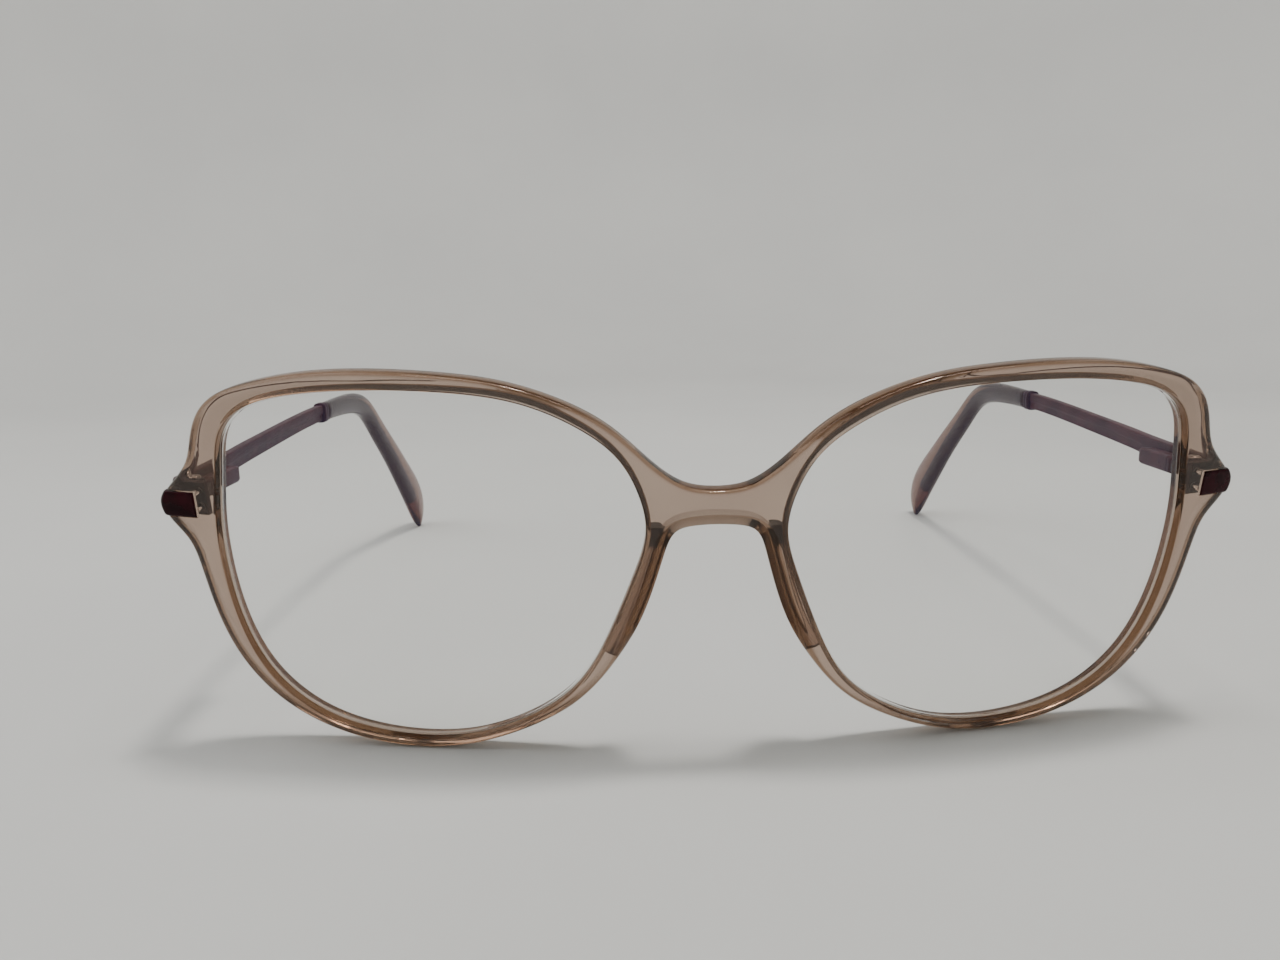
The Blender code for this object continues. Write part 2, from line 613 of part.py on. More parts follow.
def build_temple(side_name, side, finishes):
    hinge = pivot("temple_fold_axis_" + side_name, side, (HINGE_X, HINGE_Y, HINGE_Z))
    hinge.rotation_euler.z = TEMPLES_TURN
    slide = pivot("spring_travel_axis_" + side_name, side, (BOX_MIDDLE, BOX_Y[0], HINGE_Z), hinge)
    add_hinge_eye(side_name, side, finishes["hinge"], hinge)
    add_piece("slider_nut_" + side_name, y_ring_shape(NUT_Y, ROD_R + 0.07, 0.62), finishes["screw"], side, hinge)
    add_hinge_box(side_name, side, finishes["temple"], slide)
    bush = add_piece("slider_bush_" + side_name, y_ring_shape(BUSH_Y, ROD_R + 0.08, 0.68),
                     finishes["hinge"], side, slide)
    combine(bush, side_pin_shape(BOX_X[0] - 1, BOX_MIDDLE - 0.2, 0.3), "DIFFERENCE", side)
    add_piece("bush_pin_" + side_name, side_pin_shape(BOX_X[0] - 0.05, BOX_MIDDLE - 0.5, 0.22),
              finishes["screw"], side, slide)
    add_piece("hinge_spring_" + side_name, spring_shape(), finishes["screw"], side, slide)
    route = TempleRoute()
    add_piece("temple_bar_" + side_name, bar_shape(route), finishes["temple"], side, slide)
    add_piece("tip_collar_" + side_name, collar_shape(route), finishes["hinge"], side, slide)
    add_piece("temple_tip_" + side_name, tip_shape(route), finishes["acetate"], side, slide)


def main():
    clear_scene()
    finishes = {
        "acetate": material("acetate", (0.50, 0.36, 0.30), 0.12, alpha=0.7),
        "lens": material("lens", (0.92, 0.95, 0.95), 0.03, alpha=0.15),
        "enamel": material("enamel", (0.07, 0.004, 0.015), 0.2),
        "temple": material("temple", (0.13, 0.05, 0.065), 0.3, metallic=0.9),
        "hinge": material("hinge", (0.10, 0.05, 0.055), 0.35, metallic=1.0),
        "screw": material("screw", (0.45, 0.42, 0.40), 0.3, metallic=1.0),
    }
    build_front(finishes)
    for side_name, side in SIDES:
        build_temple(side_name, side, finishes)


main()
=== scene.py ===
"""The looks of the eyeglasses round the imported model: fine meshes, materials, stage and camera.

Shapes are written in millimetres in the design's own frame (X to the wearer's left from the nose,
Y back from the front, Z up) and placed by the hinge joints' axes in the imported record.
"""
import json
import math

import bmesh
import bpy
import numpy as np
from mathutils import Matrix, Vector


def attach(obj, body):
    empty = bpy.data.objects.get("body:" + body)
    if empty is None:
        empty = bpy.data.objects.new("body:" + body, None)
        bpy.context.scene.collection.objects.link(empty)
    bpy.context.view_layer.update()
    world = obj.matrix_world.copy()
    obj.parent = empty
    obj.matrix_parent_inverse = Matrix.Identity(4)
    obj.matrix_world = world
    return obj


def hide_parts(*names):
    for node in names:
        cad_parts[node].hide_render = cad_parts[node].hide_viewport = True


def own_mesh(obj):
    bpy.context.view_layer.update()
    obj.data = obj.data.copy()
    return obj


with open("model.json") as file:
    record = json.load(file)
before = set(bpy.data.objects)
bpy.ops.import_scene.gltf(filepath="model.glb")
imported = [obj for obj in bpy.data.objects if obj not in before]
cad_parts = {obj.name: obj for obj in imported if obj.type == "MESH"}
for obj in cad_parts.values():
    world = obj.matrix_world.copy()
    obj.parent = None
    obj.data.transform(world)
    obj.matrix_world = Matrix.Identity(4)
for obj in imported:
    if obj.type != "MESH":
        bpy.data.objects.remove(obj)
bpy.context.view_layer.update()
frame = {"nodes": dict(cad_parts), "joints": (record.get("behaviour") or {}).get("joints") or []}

MM = 0.001
SIDES = (("left", 1), ("right", -1))

# ---- the design's dimensions, in millimetres --------------------------------------------------
# The front: its bend round the face, its backward lean, its sheet and its rounded edges.
WRAP_RADIUS = 265.7
LEAN = math.radians(9.41)
FRONT_LIFT = -0.04
THICKNESS = 3.1
CORNER_EDGE = 0.6
FRONT_EDGE = 1.0
LIP_EDGE = 0.25
FACE_MARGIN = 0.12
LIP_MARGIN = 0.1
STRIP = 1.5
FRONT_REACH = 70.5

# Round the nose the edges turn into wider, flat bevels: the zone, and how much they grow.
NOSE_HALF_WIDTH, NOSE_TOP = 16, 34
NOSE_BEVEL_FROM, NOSE_BEVEL_RISE = 10.0, 9.0
NOSE_EXTRA_WIDTH, NOSE_EXTRA_DEPTH = 0.8, 0.35

# The groove in the rims, and the lens that sits in it.
GROOVE_DEPTH = 0.65
GROOVE_HALF = 0.5
GROOVE_AT = 1.55
LENS_HALF = 0.6
LENS_GAP = 0.06
LENS_RINGS = (0.01, 0.15, 0.3, 0.45, 0.6, 0.75, 0.88, 0.96)

# The spring hinge and its housing.
HINGE = (66.7, 9.2, 34.9)
BOX_X = (66.1, 68.1)
BOX_Y = (12.1, 21.4)
BOX_MIDDLE = sum(BOX_X) / 2
BOX_HALF = 1.2
BOX_ROUND, BOX_INNER_ROUND = 0.38, 0.1
PIN_Y = 15.4
PIN_RADIUS = 0.26
SPRING_Y = (16.13, 19.67)
SPRING_R, SPRING_WIRE, SPRING_TURNS = 0.58, 0.13, 5

# The temple: bar, its wider head, core wire, collar and tip.
BAR_THICK, BAR_HIGH, HEAD_HIGH, HEAD_LENGTH = 1.5, 2.95, 4.2, 20.0
BAR_ROUND, BAR_RIDGE, BAR_NOSE = 0.3, 0.2, 0.35
BAR_LENGTH, TIP_START = 62.4, 62.6
CORE_HIGH, CORE_THICK, CORE_SHORT = 2.3, 1.1, 9.0
COLLAR_Y = (67.0, 69.2)

# How finely the shapes are divided.
CURVE_STEPS = 40
OUTLINE_POINTS = 560
OPENING_POINTS = 300
CIRCLE_POINTS = 20
SHARP_ANGLE = math.radians(38)

# Outlines in the flat of the front, (across, up).
FRONT_HALF = [
    (1.9, 36.9), (4.6, 37.7), (7.8, 40.0), (12.4, 44.2), (18.0, 47.55), (25.6, 50.05),
    (33.6, 51.05), (41.8, 51.28), (49.6, 50.75), (56.0, 49.45), (60.6, 47.7), (63.2, 45.3),
    (64.6, 42.2), (65.7, 39.1), (67.9, 36.3), (69.8, 33.7), (69.2, 31.1), (67.2, 28.4),
    (66.2, 25.0), (65.3, 19.6), (63.4, 13.2), (59.9, 7.6), (55.2, 3.6), (49.3, 0.9),
    (43.2, -0.32), (36.9, -0.46), (30.6, 0.62), (24.0, 3.2), (17.9, 7.05), (13.4, 12.1),
    (10.0, 17.6), (7.9, 23.0), (6.5, 27.8), (5.25, 30.85), (3.0, 31.85)]
LENS_OPENING = [
    (8.75, 31.3), (9.6, 36.4), (12.2, 41.2), (17.0, 45.0), (24.0, 47.9), (32.9, 49.05),
    (42.0, 49.1), (50.2, 48.35), (56.6, 46.5), (60.2, 43.1), (61.6, 37.5), (62.5, 31.2),
    (62.6, 24.4), (61.5, 16.7), (58.3, 9.4), (52.5, 4.2), (45.7, 1.75), (38.8, 1.03),
    (31.6, 1.75), (24.2, 4.65), (17.6, 9.9), (13.2, 17.9), (10.3, 25.4)]
# The middle of the temple from the hinge to the end of the tip.
TEMPLE_ROUTE = [
    (68.85, 7.1, 34.75), (68.9, 14.0, 35.2), (69.0, 20.0, 35.6), (69.1, 27.0, 36.1),
    (69.3, 40.0, 36.65), (69.4, 54.0, 37.2), (69.3, 67.0, 37.5), (69.1, 80.0, 37.25),
    (68.9, 88.5, 36.4), (68.7, 94.0, 34.7), (68.5, 98.3, 31.9), (68.2, 102.4, 28.3),
    (67.5, 110.2, 21.3), (66.8, 117.6, 13.8), (66.2, 123.8, 7.1), (65.7, 128.4, 0.92)]
# The tip's height and thickness at shares of its length.
TIP_SHAPE = [(0.0, 3.5, 2.4), (0.12, 3.9, 2.6), (0.3, 4.6, 2.8), (0.55, 5.7, 3.1), (0.76, 7.6, 3.5),
             (0.88, 8.6, 3.6), (0.95, 7.2, 3.2), (0.985, 4.6, 2.2), (1.0, 2.0, 1.2)]
# The middle of a nose pad, from its top down the rim.
PAD_LINE = [(7.1, 31.4), (8.1, 28.0), (9.4, 23.8), (10.65, 20.2), (12.15, 16.9), (13.9, 13.9)]
PAD_HIGH, PAD_HALF, PAD_SPLAY, PAD_TOP_WIDTH = 2.6, 0.8, 0.5, 0.45
PAD_LIFT = 0.02

# The corner block: its inner side, bottom and top, then its thicknesses and its recess.
PLATE = (65.0, 31.65, 35.05)
PLATE_PROUD, PLATE_THICK, PLATE_WRAP, PLATE_ROOM = 0.12, 0.75, 2.3, 0.03
PLATE_BEND = 66.5
BLOCK_BEVEL, BLOCK_LIP, BLOCK_INNER = 0.22, 0.18, 0.55
LEAF_SCREWS = [(65.5, 34.55), (65.5, 32.45)]
SCREW_HOLE, SCREW_DEPTH = 0.46, 1.1

joints = {joint["name"]: joint for joint in frame["joints"]}
left_hinge = Vector(joints["temple_fold_left"]["pos_m"]) / MM
ORIGIN = Vector(HINGE) - left_hinge
slide_axis = joints["spring_travel_left"]["axis"]
TURN = -math.atan2(slide_axis[0], slide_axis[1])


# ---- geometry helpers -------------------------------------------------------------------------
def curve_through(points, closed=False):
    """A dense smooth curve through points, as a cubic spline."""
    knots = np.array(points, float)
    count = len(knots)
    ends = np.vstack([knots, knots[:1]]) if closed else knots
    step = np.sqrt(np.linalg.norm(np.diff(ends, axis=0), axis=1))
    matrix, right = np.eye(count), np.zeros_like(knots)
    for i in range(count) if closed else range(1, count - 1):
        before, after = step[i - 1], step[i]
        matrix[i, i - 1] = before
        matrix[i, i] = 2 * (before + after)
        matrix[i, (i + 1) % count] = after
        right[i] = 6 * ((ends[i + 1] - ends[i]) / after - (ends[i] - knots[i - 1]) / before)
    bend = np.linalg.solve(matrix, right)
    bend = np.vstack([bend, bend[:1]]) if closed else bend
    dense = []
    for i, size in enumerate(step):
        t = np.linspace(0, 1, CURVE_STEPS, endpoint=False)[:, None]
        curve = ((1 - t) ** 3 - (1 - t)) * bend[i] + (t ** 3 - t) * bend[i + 1]
        dense.append((1 - t) * ends[i] + t * ends[i + 1] + size * size / 6 * curve)
    return np.vstack(dense + [ends[-1:]])


def along(curve, shares):
    """Points at shares of a curve's length."""
    length = np.r_[0, np.cumsum(np.linalg.norm(np.diff(curve, axis=0), axis=1))]
    wanted = np.asarray(shares) * length[-1]
    return np.stack([np.interp(wanted, length, axis) for axis in curve.T], -1)


def smooth_step(value):
    value = min(max(value, 0.0), 1.0)
    return value * value * (3 - 2 * value)


def even_loop(points, count):
    """A closed smooth curve through points, as evenly spaced points."""
    return along(curve_through(points, True), np.arange(count) / count)


def offset_loop(loop, distance):
    """A flat loop moved sideways by a distance, which may differ from point to point."""
    tangent = np.roll(loop, -1, 0) - np.roll(loop, 1, 0)
    tangent /= np.linalg.norm(tangent, axis=1)[:, None]
    return loop + distance * np.stack([-tangent[:, 1], tangent[:, 0]], -1)


def on_front(u, v, w):
    """From across, up and depth in the flat sheet to the bent and leaning front."""
    turn = math.atan(u / WRAP_RADIUS)
    back = u * u / (2 * WRAP_RADIUS) + w * math.cos(turn)
    return Vector((u - w * math.sin(turn),
                   back * math.cos(LEAN) - v * math.sin(LEAN),
                   back * math.sin(LEAN) + v * math.cos(LEAN) + FRONT_LIFT))


def add_rows(bm, rows):
    """Closed rows of points joined by faces."""
    made = [[bm.verts.new(point) for point in row] for row in rows]
    for low, high in zip(made, made[1:]):
        for i in range(len(low)):
            j = (i + 1) % len(low)
            bm.faces.new((low[i], low[j], high[j], high[i]))
    return made


def loft(rows):
    """A closed solid through closed rows of points."""
    bm = bmesh.new()
    made = add_rows(bm, rows)
    bm.faces.new(made[0][::-1])
    bm.faces.new(made[-1])
    return bm


def arc(centre, radius, start, end, steps):
    """Points of a flat arc, angles in degrees."""
    return [(centre[0] + radius * math.cos(math.radians(a)),
             centre[1] + radius * math.sin(math.radians(a)))
            for a in np.linspace(start, end, steps)]


def turns(steps):
    """The angles of a whole turn."""
    return np.linspace(0, 2 * math.pi, steps, endpoint=False)


def to_world(point, side, turned):
    """From the design of the wearer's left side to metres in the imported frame."""
    x, y, z = side * point[0], point[1], point[2]
    if turned:
        dx, dy = x - side * HINGE[0], y - HINGE[1]
        x = side * HINGE[0] + dx * math.cos(TURN) - dy * math.sin(TURN)
        y = HINGE[1] + dx * math.sin(TURN) + dy * math.cos(TURN)
    return (Vector((x, y, z)) - ORIGIN) * MM


def finish_piece(name, bm, material, body, nodes=(), side=1, turned=False):
    """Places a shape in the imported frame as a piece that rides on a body."""
    for vert in bm.verts:
        vert.co = to_world(vert.co, side, turned)
    bmesh.ops.recalc_face_normals(bm, faces=bm.faces[:])
    if bm.calc_volume(signed=True) < 0:
        bmesh.ops.reverse_faces(bm, faces=bm.faces[:])
    mesh = bpy.data.meshes.new(name)
    bm.to_mesh(mesh)
    bm.free()
    mesh.shade_smooth()
    mesh.set_sharp_from_angle(angle=SHARP_ANGLE)
    mesh.materials.append(material)
    piece = bpy.data.objects.new(name, mesh)
    bpy.context.scene.collection.objects.link(piece)
    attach(piece, body)
    if nodes:
        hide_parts(*nodes)
    return piece


# ---- materials --------------------------------------------------------------------------------
# The colour sockets of a Mix node.
MIX_COLOUR_A, MIX_COLOUR_B, MIX_COLOUR_OUT = 6, 7, 2
ACETATE_IOR, LENS_IOR = 1.49, 1.52
# Metres above the floor between which a pad turns to painted shade, nearly black, standing in for
# the dark internal reflection under the bridge.
PAD_PAINTED_SHADE_HEIGHTS = (0.0284, 0.0291)


class Shader:
    """A Principled material with helpers for its node tree."""

    def __init__(self, name):
        self.material = bpy.data.materials.new(name)
        self.material.use_nodes = True
        self.tree = self.material.node_tree
        self.shader = self.tree.nodes["Principled BSDF"]
        place = self.tree.nodes.new("ShaderNodeTexCoord")
        self.coordinates, self.normals = place.outputs["Object"], place.outputs["Normal"]

    def set(self, **values):
        """Plain values for the shader's own sockets."""
        for key, value in values.items():
            self.shader.inputs[key.replace("_", " ")].default_value = value
        return self

    def noise(self, scale, detail, stretch=(1, 1, 1)):
        mapping = self.tree.nodes.new("ShaderNodeMapping")
        mapping.inputs["Scale"].default_value = stretch
        self.tree.links.new(self.coordinates, mapping.inputs["Vector"])
        node = self.tree.nodes.new("ShaderNodeTexNoise")
        node.inputs["Scale"].default_value = scale
        node.inputs["Detail"].default_value = detail
        self.tree.links.new(mapping.outputs["Vector"], node.inputs["Vector"])
        return node.outputs["Fac"]

    def ramp(self, value, stops):
        """A colour between two stops of (value, colour)."""
        node = self.tree.nodes.new("ShaderNodeValToRGB")
        for element, (place, colour) in zip(node.color_ramp.elements, stops):
            element.position, element.color = place, (*colour, 1)
        self.tree.links.new(value, node.inputs["Fac"])
        return node.outputs["Color"]

    def clouds(self, scale, detail, low, high):
        """Soft clouds between two colours."""
        return self.ramp(self.noise(scale, detail), [(0.35, low), (0.65, high)])

    def mix(self, share, colour, other):
        """From a linked colour towards a plain one."""
        node = self.tree.nodes.new("ShaderNodeMix")
        node.data_type = "RGBA"
        self.tree.links.new(share, node.inputs["Factor"])
        self.tree.links.new(colour, node.inputs[MIX_COLOUR_A])
        node.inputs[MIX_COLOUR_B].default_value = (*other, 1)
        return node.outputs[MIX_COLOUR_OUT]

    def map_range(self, value, start, end, low, high, smooth=False):
        """From start..end to low..high, clamped."""
        node = self.tree.nodes.new("ShaderNodeMapRange")
        if smooth:
            node.interpolation_type = "SMOOTHSTEP"
        sockets = ("From Min", "From Max", "To Min", "To Max")
        for socket, number in zip(sockets, (start, end, low, high)):
            node.inputs[socket].default_value = number
        self.tree.links.new(value, node.inputs["Value"])
        return node.outputs["Result"]

    def spread(self, value, low, high):
        """From the usual range of a noise to low..high."""
        return self.map_range(value, 0.3, 0.7, low, high)

    def part(self, vector, axis):
        node = self.tree.nodes.new("ShaderNodeSeparateXYZ")
        self.tree.links.new(vector, node.inputs[0])
        return node.outputs[axis]

    def edge_share(self, start, end):
        """1 on walls and cut edges, falling to 0 where the surface faces front or back."""
        facing = self.tree.nodes.new("ShaderNodeMath")
        facing.operation = "ABSOLUTE"
        self.tree.links.new(self.part(self.normals, "Y"), facing.inputs[0])
        return self.map_range(facing.outputs[0], start, end, 1.0, 0.0, smooth=True)

    def add(self, value, other):
        node = self.tree.nodes.new("ShaderNodeMath")
        self.tree.links.new(value, node.inputs[0])
        self.tree.links.new(other, node.inputs[1])
        return node.outputs[0]

    def link(self, value, socket):
        self.tree.links.new(value, self.shader.inputs[socket])

    def bump(self, height, distance, strength):
        """Small relief; the distance is in metres."""
        node = self.tree.nodes.new("ShaderNodeBump")
        node.inputs["Distance"].default_value = distance
        node.inputs["Strength"].default_value = strength
        self.tree.links.new(height, node.inputs["Height"])
        self.tree.links.new(node.outputs["Normal"], self.shader.inputs["Normal"])

    def absorb(self, colour, density):
        node = self.tree.nodes.new("ShaderNodeVolumeAbsorption")
        node.inputs["Color"].default_value = (*colour, 1)
        node.inputs["Density"].default_value = density
        output = self.tree.nodes["Material Output"]
        self.tree.links.new(node.outputs["Volume"], output.inputs["Volume"])


def acetate_material(name, low, high, edge, absorb_colour, density, level, tint):
    """Translucent sheet, clouded a little; edges that don't face front or back get a darker copper
    colour, painted shade standing in for the dark refraction and internal reflection at bevels and
    cut edges.
    """
    made = Shader(name).set(Transmission_Weight=0.95, IOR=ACETATE_IOR, Specular_IOR_Level=level,
                            Specular_Tint=(*tint, 1))
    face = made.clouds(90.0, 4.0, low, high)
    # Painted shade: where the surface turns away from front and back, the colour goes to the darker
    # edge colour, standing in for the dark refraction at the bevels.
    made.link(made.mix(made.edge_share(0.77, 0.985), face, edge), "Base Color")
    made.link(made.spread(made.noise(900.0, 2.0), 0.02, 0.07), "Roughness")
    made.bump(made.noise(2600.0, 2.0), 0.00001, 0.12)
    made.absorb(absorb_colour, density)
    return made.material


def pad_material():
    """The pads' tops, under the bridge, are painted nearly black as painted shade for the dark
    internal reflection there; lower down they are like the front.
    """
    made = Shader("pad_acetate").set(Transmission_Weight=0.9, IOR=ACETATE_IOR)
    top = made.map_range(made.part(made.coordinates, "Z"), *PAD_PAINTED_SHADE_HEIGHTS, 0.0, 1.0)
    body = made.clouds(120.0, 3.0, (0.58, 0.48, 0.41), (0.68, 0.57, 0.49))
    # Painted shade: the pads' tops are mixed to near black by height.
    made.link(made.mix(top, body, (0.006, 0.010, 0.018)), "Base Color")
    made.link(made.spread(made.noise(700.0, 2.0), 0.05, 0.12), "Roughness")
    made.bump(made.noise(2000.0, 2.0), 0.00001, 0.12)
    made.absorb((0.60, 0.45, 0.32), 90.0)
    return made.material


def lens_material():
    """Clear and coated on its faces, ground matt on the edge that sits in the groove."""
    made = Shader("clear_lens_coated").set(Transmission_Weight=1.0, IOR=LENS_IOR,
                                           Specular_Tint=(0.26, 0.22, 0.46, 1))
    edge = made.edge_share(0.75, 0.90)
    clear, ground = (0.985, 0.99, 0.985), (0.26, 0.20, 0.16)
    made.link(made.ramp(edge, [(0.0, clear), (1.0, ground)]), "Base Color")
    polish = made.spread(made.noise(160.0, 2.0), 0.0, 0.012)
    made.link(made.add(polish, made.spread(edge, 0.0, 0.35)), "Roughness")
    return made.material


def metal_material(name, low, high, roughness, metallic=0.0, brushed=False,
                   tint=(1, 1, 1), level=0.5):
    """Plated or lacquered metal with a fine grain, drawn out along the temple if brushed."""
    made = Shader(name).set(Metallic=metallic, Specular_Tint=(*tint, 1), Specular_IOR_Level=level)
    grain = made.noise(2200.0, 3.0, (6.0, 0.25, 6.0) if brushed else (1, 1, 1))
    made.link(made.clouds(260.0, 4.0, low, high), "Base Color")
    made.link(made.spread(grain, roughness - 0.07, roughness + 0.09), "Roughness")
    made.bump(grain, 0.000012, 0.25)
    return made.material


def enamel_material():
    """Glossy, nearly black burgundy."""
    made = Shader("burgundy_enamel").set(Roughness=0.12, Specular_IOR_Level=0.12,
                                         Specular_Tint=(1.0, 0.55, 0.62, 1))
    cloud = made.clouds(420.0, 4.0, (0.005, 0.0004, 0.0010), (0.024, 0.0009, 0.0038))
    made.link(cloud, "Base Color")
    made.bump(made.noise(800.0, 2.0), 0.00001, 0.1)
    return made.material


# The edge colours below are painted shade for the dark refraction and internal reflection at bevels
# and cut edges.
ACETATE = acetate_material("taupe_acetate", low=(0.73, 0.645, 0.60), high=(0.80, 0.71, 0.66),
                           edge=(0.30, 0.19, 0.12), absorb_colour=(0.53, 0.34, 0.18),
                           density=280.0, level=0.5, tint=(0.50, 0.40, 0.35))
TIP_ACETATE = acetate_material("tip_acetate", low=(0.40, 0.29, 0.23), high=(0.47, 0.34, 0.27),
                               edge=(0.33, 0.22, 0.16), absorb_colour=(0.58, 0.30, 0.17),
                               density=320.0, level=0.10, tint=(0.50, 0.36, 0.28))
PAD_ACETATE = pad_material()
LENS = lens_material()
PLUM = metal_material("plum_lacquered_metal", (0.030, 0.010, 0.0105), (0.056, 0.019, 0.020), 0.42,
                      brushed=True, tint=(0.85, 0.57, 0.55), level=0.11)
DARK = metal_material("dark_plum_hinge", (0.012, 0.004, 0.005), (0.03, 0.010, 0.013), 0.42,
                      tint=(0.9, 0.62, 0.68), level=0.14)
STEEL = metal_material("screw_steel", (0.36, 0.33, 0.31), (0.55, 0.51, 0.48), 0.28, metallic=1.0)
ENAMEL = enamel_material()


# ---- front ------------------------------------------------------------------------------------
def nose_share(loop):
    """How far each point of the outline belongs to the bevels round the nose, 0 to 1."""
    near = (np.abs(loop[:, 0]) < NOSE_HALF_WIDTH) & (loop[:, 1] < NOSE_TOP)
    return np.array([smooth_step((v - NOSE_BEVEL_FROM) / NOSE_BEVEL_RISE) if close else 0.0
                     for close, v in zip(near, loop[:, 1])])


def front_outline():
    half = np.array(FRONT_HALF)
    return even_loop(np.vstack([half, (half * [-1, 1])[::-1]]), OUTLINE_POINTS)[::-1]


def lens_opening():
    return even_loop(LENS_OPENING, OPENING_POINTS)[::-1]


def rounded_wall(steps=6):
    """Inset and depth shares over a rounded edge, from the face to the side."""
    return [(1 - math.sin(t), 1 - math.cos(t)) for t in np.linspace(0, math.pi / 2, steps)]


def chamfer_wall(steps=6):
    """The same over a flat bevel, with a close pair of points at each of its edges."""
    places = np.interp(np.arange(steps), [0, 1, steps - 2, steps - 1], [0, 0.06, 0.94, 1])
    return [(1 - t, t) for t in places]


def outer_rows(loop):
    """The outer wall, front to back; its edges are rounded, and bevelled at the nose."""
    share = nose_share(loop)
    width, depth = FRONT_EDGE + NOSE_EXTRA_WIDTH * share, FRONT_EDGE + NOSE_EXTRA_DEPTH * share
    rows = [(width + FACE_MARGIN, 0 * depth)]
    for (round_in, round_down), (flat_in, flat_down) in zip(rounded_wall(), chamfer_wall()):
        rows.append((width * (round_in + share * (flat_in - round_in)),
                     depth * (round_down + share * (flat_down - round_down))))
    rows += [(inset, THICKNESS - drop) for inset, drop in rows[::-1]]
    return [[(u, v, w) for (u, v), w in zip(offset_loop(loop, inset[:, None]), level)]
            for inset, level in rows]


def opening_rows(loop):
    """The wall of a lens opening from front to back, with its groove."""
    lip = [(LIP_EDGE * inset, LIP_EDGE * drop) for inset, drop in rounded_wall(4)]
    wall = [(LIP_EDGE + LIP_MARGIN, 0)] + lip
    wall += [(0, GROOVE_AT - GROOVE_HALF), (GROOVE_DEPTH, GROOVE_AT), (0, GROOVE_AT + GROOVE_HALF)]
    wall += [(out, THICKNESS - depth) for out, depth in lip[::-1]]
    wall += [(LIP_EDGE + LIP_MARGIN, THICKNESS)]
    return [[(u, v, depth) for u, v in offset_loop(loop, -out)] for out, depth in wall]


def mirrored(rows):
    return [[(-u, v, w) for u, v, w in row] for row in rows]


def front_shape():
    """The whole front, filled flat, cut across in narrow strips and then bent round the face."""
    bm = bmesh.new()
    opening = opening_rows(lens_opening())
    outer = outer_rows(front_outline())
    walls = [add_rows(bm, rows) for rows in (outer, opening, mirrored(opening))]
    rims = []
    for end in (0, -1):
        rims.append([bm.edges.get((wall[end][i], wall[end][i - 1]))
                     for wall in walls for i in range(len(wall[end]))])
    for rim in rims:
        bmesh.ops.triangle_fill(bm, use_beauty=True, use_dissolve=False, edges=rim)
    for u in np.arange(-FRONT_REACH, FRONT_REACH + STRIP / 3, STRIP):
        bmesh.ops.bisect_plane(bm, geom=bm.verts[:] + bm.edges[:] + bm.faces[:], dist=1e-4,
                               plane_co=(u, 0, 0), plane_no=(1, 0, 0))
    for vert in bm.verts:
        vert.co = on_front(*vert.co)
    return bm


def recess_shape(side):
    """The recess of a corner block: sections, one above the other, that wrap the front's corner."""
    inner_u, low, high = PLATE
    inner_u -= PLATE_ROOM
    wrap = PLATE_WRAP + PLATE_ROOM
    inside = PLATE_THICK - PLATE_PROUD + PLATE_ROOM
    out = 0.9
    rows = []
    for v in np.linspace(low - PLATE_ROOM, high + PLATE_ROOM, 8):
        reach = outline_reach(v)
        section = [(inner_u, -out), (PLATE_BEND, -out), (reach - CORNER_EDGE, -out),
                   (reach - 0.2 + 0.7 * out, 0.2 - 0.7 * out), (reach + out, CORNER_EDGE),
                   (reach + out, wrap),
                   (reach - inside, wrap), (reach - inside, CORNER_EDGE + 0.2),
                   (reach - 0.35 - inside, inside), (reach - CORNER_EDGE - inside, inside),
                   (PLATE_BEND, inside), (inner_u, inside)]
        rows.append([to_world(on_front(u, v, w), side, False) for u, w in section])
    return loft(rows)


def screw_hole_shape(u, v, side):
    return loft([[to_world(on_front(u + SCREW_HOLE * math.cos(a), v + SCREW_HOLE * math.sin(a), w),
                           side, False) for a in turns(CIRCLE_POINTS)]
                 for w in (SCREW_DEPTH, THICKNESS + 1)])


def cut(piece, shapes):
    """Cuts closed shapes out of a piece by exact Booleans."""
    tools = []
    for shape in shapes:
        bmesh.ops.recalc_face_normals(shape, faces=shape.faces[:])
        mesh = bpy.data.meshes.new("cutter")
        shape.to_mesh(mesh)
        shape.free()
        tool = bpy.data.objects.new("cutter", mesh)
        bpy.context.scene.collection.objects.link(tool)
        tools.append(tool)
        step = piece.modifiers.new("cut", "BOOLEAN")
        step.operation, step.solver, step.object = "DIFFERENCE", "EXACT", tool
    bpy.context.view_layer.update()
    depsgraph = bpy.context.evaluated_depsgraph_get()
    result = bpy.data.meshes.new_from_object(piece.evaluated_get(depsgraph))
    piece.modifiers.clear()
    piece.data = result
    for tool in tools:
        bpy.data.objects.remove(tool, do_unlink=True)


def lens_shape():
    """A bent plate with a bevelled edge in the groove; the last rings keep its faces plain."""
    loop = lens_opening()
    middle = loop.mean(0)
    flat = [middle + (loop - middle) * share for share in LENS_RINGS]
    edge = [(-LENS_GAP - 0.17, -LENS_HALF), (-LENS_GAP - 0.12, -LENS_HALF),
            (-LENS_GAP - 0.02, 0.03 - LENS_HALF), (0.02, 0.02 - GROOVE_HALF)]
    tip = [(GROOVE_DEPTH - 0.08, 0.0)]
    edge = edge + tip + [(out, -depth) for out, depth in edge[::-1]]
    rows = [[on_front(u, v, GROOVE_AT - LENS_HALF) for u, v in row] for row in flat]
    rows += [[on_front(u, v, GROOVE_AT + depth) for u, v in offset_loop(loop, -out)]
             for out, depth in edge]
    rows += [[on_front(u, v, GROOVE_AT + LENS_HALF) for u, v in row] for row in flat[::-1]]
    return loft(rows)


